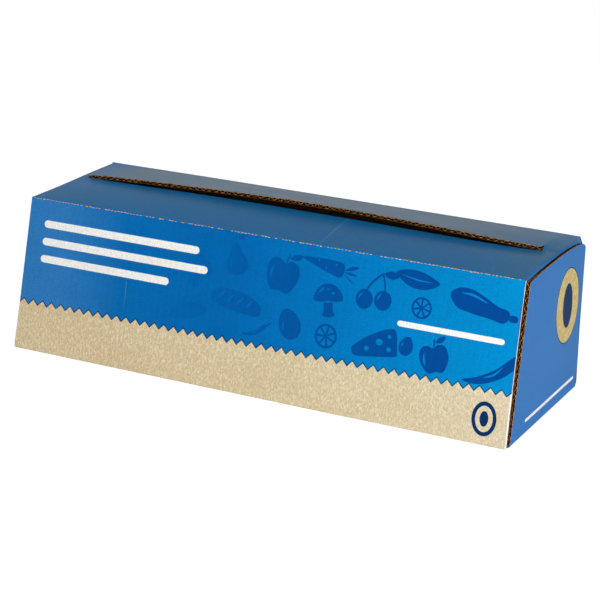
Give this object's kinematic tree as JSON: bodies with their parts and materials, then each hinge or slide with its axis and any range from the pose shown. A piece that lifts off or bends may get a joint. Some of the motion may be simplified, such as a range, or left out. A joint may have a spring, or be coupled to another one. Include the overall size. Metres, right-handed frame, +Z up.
{
  "type": "aluminium foil roll in a slit-top carton",
  "caption": "Closed corrugated carton with a leaning front, a raised dispensing slit along its top and glued end flaps, holding a wound foil roll on a cardboard core.",
  "frame": {"origin": "middle of the carton's base, on its underside", "axes": "+X along the roll, towards the end panel that the picture shows; +Y from the leaning front panel to the back; +Z up"},
  "size_m": [0.47, 0.1594, 0.1386],
  "materials": {
    "printed_board": "flexo-printed white-lined corrugated board, satin, blue over a bare beige band, brown at its cut edges",
    "foil": "bright rolled foil with faint winding bands",
    "core_board": "spirally wound grey-brown board, matt"
  },
  "bodies": {
    "root": {"carton": "printed_board", "foil_roll": "foil", "core": "core_board"}
  },
  "joints": []
}
